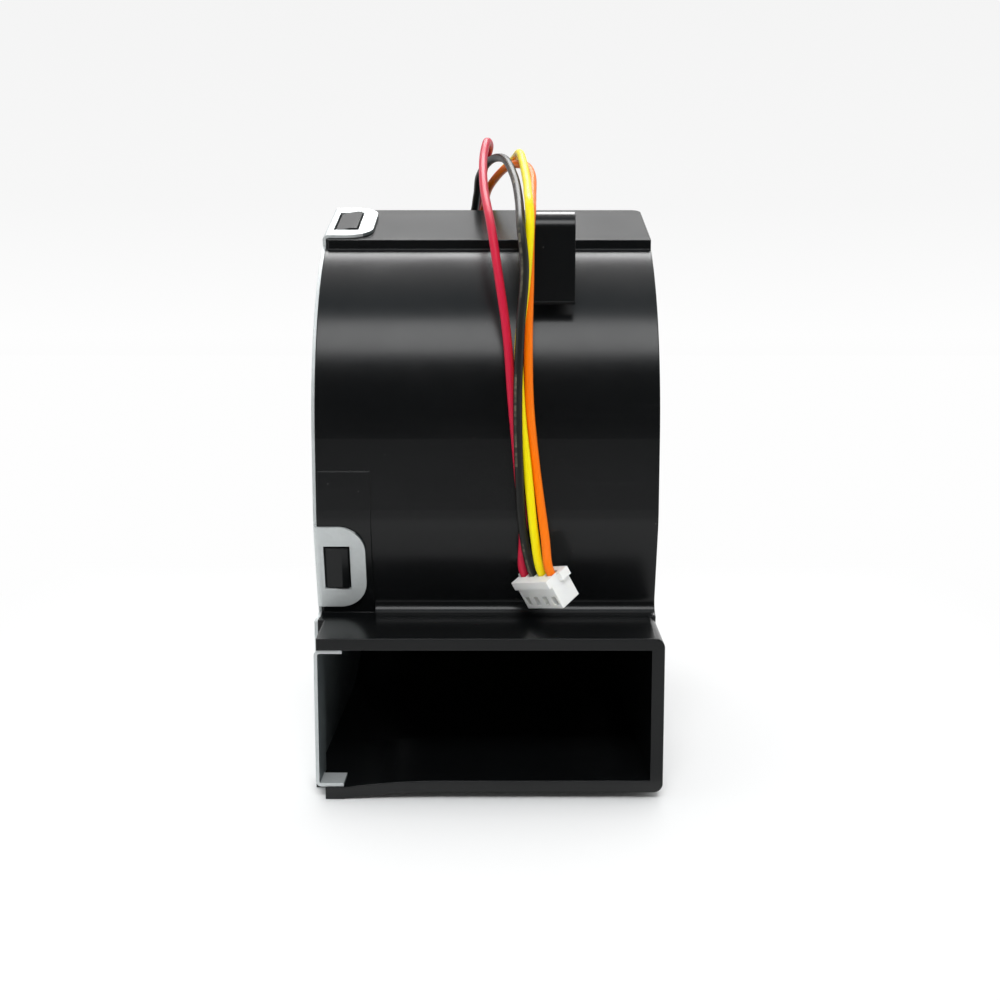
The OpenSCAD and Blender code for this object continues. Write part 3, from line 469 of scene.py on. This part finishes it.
def sleeve(ownLook):
    look = {**sleeveUsual, **ownLook}
    material, tree, shader, vector = newMaterial(look["name"])
    grain = useGroup(tree, grainGroup, {**look["grain"], "Vector": vector})
    marks = handlingMarks(tree, vector, look["rough"])
    color = mixColor(tree, noiseNode(tree, vector, look["tintScale"]), look["dark"], look["light"])
    if "ink" in look:
        run = splitNode(tree, addNode(tree, "ShaderNodeUVMap", uv_map="run").outputs[0])
        steps = mathNode(tree, "FRACT", mathNode(tree, "MULTIPLY", run["X"], 1 / look["inkPitch"]))
        dash = mathNode(tree, "LESS_THAN", steps, look["inkShare"])
        band = mathNode(tree, "COMPARE", run["Y"], look["inkSide"], look["inkWidth"])
        cell = addNode(tree, "ShaderNodeTexWhiteNoise", noise_dimensions="1D")
        count = mathNode(tree, "FLOOR", mathNode(tree, "MULTIPLY", run["X"], 1 / look["inkGrain"]))
        link(tree, count, cell.inputs["W"])
        patchy = mathNode(tree, "MULTIPLY", cell.outputs["Value"], noiseNode(tree, vector, look["inkPatches"]))
        mask = mathNode(tree, "MULTIPLY", mathNode(tree, "MULTIPLY", dash, band), patchy)
        color = mixColor(tree, mask, color, look["ink"])
    finishShader(tree, shader, color, marks.outputs["Roughness"], grain.outputs[0], look["sockets"])
    return material


softSleeve = {"Subsurface Weight": 0.1, "Subsurface Scale": 0.0003, "Specular IOR Level": 0.3}
leadRed = {
    "node": "lead_red", "slot": "lead_sleeve_red", "way": 0, "place": 1, "name": "sleeveRed",
    "dark": (0.52, 0.009, 0.04), "light": (0.62, 0.013, 0.052), "sockets": softSleeve,
    "route": [
        (-21, 17.4, 86.3), (-15.5, 16.5, 84.5), (-8.5, 15.7, 84.4), (-2.9, 12.5, 86.8), (-1.4, 6.7, 91.5),
        (-0.3, 0.7, 95), (0.4, -3.8, 96.9), (0, -8.3, 97), (-0.5, -13.3, 93.8), (-0.3, -21.3, 88.2),
        (0.8, -28.8, 82), (1.9, -31.8, 74.7), (3.1, -32.8, 66.2), (3.8, -33.3, 57.2), (4.7, -33.6, 47.2),
        (5.5, -33.6, 37.7)],
}
leadBlack = {
    "node": "lead_black", "slot": "lead_sleeve_black", "way": 1, "place": 0, "name": "sleeveBlack",
    "dark": (0.008, 0.008, 0.007), "light": (0.014, 0.014, 0.012), "sockets": {"Specular IOR Level": 0.4},
    "ink": (0.2, 0.18, 0.12), "inkPitch": 0.024, "inkShare": 0.55, "inkSide": 0.5, "inkWidth": 0.05,
    "inkGrain": 0.0004, "inkPatches": 2500.0,
    "route": [
        (-21, 16.1, 86.9), (-15.5, 15.2, 85.2), (-8.5, 13.7, 85), (-3.1, 10.3, 86.8), (-1.9, 6.2, 90.2),
        (-1.4, 1.7, 92.8), (0.5, -3.8, 94.7), (2.7, -9.8, 94.2), (4.2, -16.8, 90.8), (4.9, -25.3, 86.2),
        (5.1, -32.7, 81.4), (5.6, -33.9, 75.7), (5, -34.9, 66.7), (4.65, -35.3, 57.2), (4.85, -35.3, 47.2),
        (5.5, -35.3, 37.7)],
}
leadYellow = {
    "node": "lead_yellow", "slot": "lead_sleeve_yellow", "way": 2, "place": 3, "name": "sleeveYellow",
    "dark": (0.84, 0.7, 0.0), "light": (0.9, 0.77, 0.0), "sockets": softSleeve,
    "route": [
        (-21, 20.1, 85), (-15.5, 19.2, 83.3), (-8.5, 18.7, 82.9), (-2.5, 17.9, 85.6), (-0.9, 14.5, 88.8),
        (0.1, 8.8, 91.5), (2, 2.8, 93.4), (4.4, -3.8, 94.9), (5.2, -9.3, 95.1), (5.7, -14.8, 92.9),
        (6.2, -23.4, 88.5), (6.2, -26.8, 87), (6.3, -30.3, 85.2), (6.4, -31.9, 82), (5.9, -32.5, 74.2),
        (4.85, -33.5, 64.7), (5.15, -33.95, 55.7), (6.05, -34.7, 47.2), (7.1, -36, 37.4)],
}
leadOrange = {
    "node": "lead_orange", "slot": "lead_sleeve_orange", "way": 3, "place": 2, "name": "sleeveOrange",
    "dark": (0.9, 0.165, 0.0), "light": (0.96, 0.2, 0.0), "sockets": softSleeve,
    "route": [
        (-21, 18.8, 85.6), (-15.5, 17.8, 83.8), (-8.5, 17.3, 83.4), (-2.5, 15.3, 85.6), (-0.9, 11.9, 88.5),
        (0.1, 6.2, 91.2), (1.9, 0.2, 93), (3.9, -5.8, 93.7), (6.1, -10.8, 93), (7, -16.3, 90.8),
        (6.9, -23.4, 86.9), (6.8, -26.6, 85.4), (6.7, -29.4, 84.2), (6.5, -30.4, 81.4), (6.4, -31.1, 74.2),
        (6.2, -32.8, 65.2), (6.4, -33.3, 56.2), (7.3, -33.95, 47.2), (8.6, -36.5, 37.4)],
}
for lead in (leadRed, leadBlack, leadYellow, leadOrange):
    start = [bundlePoint(lead["place"], leadShape["exit"] + r) for r in (0, leadShape["rise"])]
    end = [wayPoint(lead["way"], plug["height"] / 2 + h) for h in (plug["straight"], -plug["inside"])]
    points = start + [Vector(p) for p in lead["route"]] + end
    path = [p * mm for p in smoothPath(points, leadShape["step"])]
    mesh, run = tubeMesh(lead["name"], path, leadShape["diameter"] * mm / 2, leadShape["sides"])
    piece = bpy.data.objects.new(lead["name"], mesh)
    scene.collection.objects.link(piece)
    mesh.materials.append(sleeve(lead))
    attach(piece, "root")
    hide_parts(lead["node"])
    print("lead made:", lead["name"], round(run / mm, 1), "mm")

# The stretch inside, in the black lead's colours
innerLeads = {"name": "sleeveInner", "dark": leadBlack["dark"], "light": leadBlack["light"]}
dress(["inner_leads"], sleeve(innerLeads))


# A sheet of paper for the stage, from one (y, z) to another
def paperSheet(name, paper, halfWidth, start, end, color, rough):
    (y0, z0), (y1, z1) = start, end
    mesh = bpy.data.meshes.new(name)
    mesh.from_pydata([(-halfWidth, y0, z0), (halfWidth, y0, z0), (halfWidth, y1, z1), (-halfWidth, y1, z1)],
                     [], [(0, 1, 2, 3)])
    piece = bpy.data.objects.new(name, mesh)
    scene.collection.objects.link(piece)
    material, tree, shader, vector = newMaterial(paper)
    shader.inputs["Roughness"].default_value = rough
    shader.inputs["Base Color"].default_value = (*color, 1)
    mesh.materials.append(material)
    return piece, tree, shader, vector


# Pale floor that melts into the white background: it glows more the farther it lies from the part
floor = {
    "half": 4.0, "drop": 0.00005, "color": (0.92, 0.92, 0.915), "rough": 0.6, "glow": 0.99,
    "footprint": (0.0255, 0.042), "reach": (-0.02, 0.13),
    "fade": [(0.1, 0.0), (0.13, 0.02), (0.15, 0.3), (0.18, 0.41), (0.25, 0.53), (0.8, 1.0)],
}
floorObject, tree, shader, vector = paperSheet(
    "floor", "floorPaper", floor["half"], (-floor["half"], 0), (floor["half"], 0), floor["color"], floor["rough"])
floorObject.location.z = -floor["drop"]
glow = addNode(tree, "ShaderNodeEmission", {"Color": (1, 1, 1, 1), "Strength": floor["glow"]})
spot = splitNode(tree, vector)
gaps = [mathNode(tree, "SUBTRACT", mathNode(tree, "ABSOLUTE", spot[axis]), half)
        for axis, half in zip("XY", floor["footprint"])]
away = rangeNode(tree, mathNode(tree, "MAXIMUM", *gaps), floor["reach"])
fade = rampNode(tree, away.outputs[0], floor["fade"])
rays = addNode(tree, "ShaderNodeLightPath").outputs
seen = mathNode(tree, "ADD", rays["Is Camera Ray"], rays["Is Glossy Ray"], clamp=True)
seen = mathNode(tree, "ADD", seen, rays["Is Transmission Ray"], clamp=True)
blend = addNode(tree, "ShaderNodeMixShader")
link(tree, mathNode(tree, "MULTIPLY", fade, seen), blend.inputs[0])
link(tree, shader.outputs[0], blend.inputs[1])
link(tree, glow.outputs[0], blend.inputs[2])
link(tree, blend.outputs[0], tree.nodes["Material Output"].inputs["Surface"])

# Dark and grey cards in front, out of the picture, for the black plastic to reflect
cards = {
    "halfWidth": 1.2, "rough": 0.9,
    "sheets": [
        {"name": "darkCard", "from": (-0.75, 0.0), "to": (-0.75, 0.6), "grey": 0.02, "shades": True},
        {"name": "greyCard", "from": (-0.75, 0.0004), "to": (-0.13, 0.0004), "grey": 0.3, "shades": False},
        {"name": "nearCard", "from": (-0.13, 0.0004), "to": (-0.048, 0.0004), "grey": 0.5, "shades": False},
    ],
}
for sheet in cards["sheets"]:
    cardObject = paperSheet(sheet["name"], sheet["name"] + "Paper", cards["halfWidth"], sheet["from"], sheet["to"],
                            (sheet["grey"],) * 3, cards["rough"])[0]
    cardObject.visible_camera = cardObject.visible_shadow = False
    cardObject.visible_diffuse = sheet["shades"]
print("floor and cards made")

# Studio: white all round, dim overhead in front; two soft boxes for the highlights, two for the colours
studio = {
    "horizon": [(0.0, 0.99), (0.1, 0.93), (0.3, 0.9)], "high": (0.32, 0.5),
    "sky": [(0.5, 0.2), (0.6, (0.17, 0.2, 0.215)), (0.7, (0.4, 0.455, 0.49)), (0.77, 1.05), (0.85, 1.05), (0.9, 0.8)],
    "target": (0.0, -0.01, 0.05), "distance": 0.6,
    "boxes": [
        {"name": "softFront", "elevation": 51, "size": (0.36, 0.2), "radiance": 4.4, "lights": "gloss"},
        {"name": "softBack", "elevation": 118, "size": (0.36, 0.25), "radiance": 11.0, "lights": "gloss"},
        {"name": "topFill", "elevation": 114, "size": (0.36, 0.3), "radiance": 3.0, "lights": "colour"},
        {"name": "frontFill", "elevation": 44, "size": (0.3, 0.2), "radiance": 12.0, "lights": "colour"},
    ],
}
world = bpy.data.worlds.new("studio")
scene.world = world
world.use_nodes = True
tree = world.node_tree
background = tree.nodes["Background"]
ray = splitNode(tree, addNode(tree, "ShaderNodeTexCoord").outputs["Generated"])
turn = mathNode(tree, "ARCTAN2", ray["Z"], mathNode(tree, "MULTIPLY", ray["Y"], -1.0))
share = mathNode(tree, "MULTIPLY_ADD", turn, 1 / (2 * math.pi), 0.5)
above = rangeNode(tree, ray["Z"], studio["high"], interpolation_type="SMOOTHSTEP")
low = rampNode(tree, mathNode(tree, "ABSOLUTE", ray["Z"]), studio["horizon"])
sky = mixColor(tree, above.outputs[0], low, rampNode(tree, share, studio["sky"]))
link(tree, sky, background.inputs["Color"])
background.inputs["Strength"].default_value = 1.0
for box in studio["boxes"]:
    light = bpy.data.lights.new(box["name"], "AREA")
    light.shape = "RECTANGLE"
    light.size, light.size_y = box["size"]
    light.energy = box["radiance"] * math.pi * box["size"][0] * box["size"][1]
    lamp = bpy.data.objects.new(box["name"], light)
    angle = math.radians(box["elevation"])
    toLamp = Vector((0, -math.cos(angle), math.sin(angle)))
    lamp.location = Vector(studio["target"]) + studio["distance"] * toLamp
    lamp.rotation_euler = toLamp.to_track_quat("Z", "Y").to_euler()
    lamp.visible_camera = False
    lamp.visible_glossy = box["lights"] == "gloss"
    lamp.visible_diffuse = box["lights"] == "colour"
    scene.collection.objects.link(lamp)
print("studio lit")
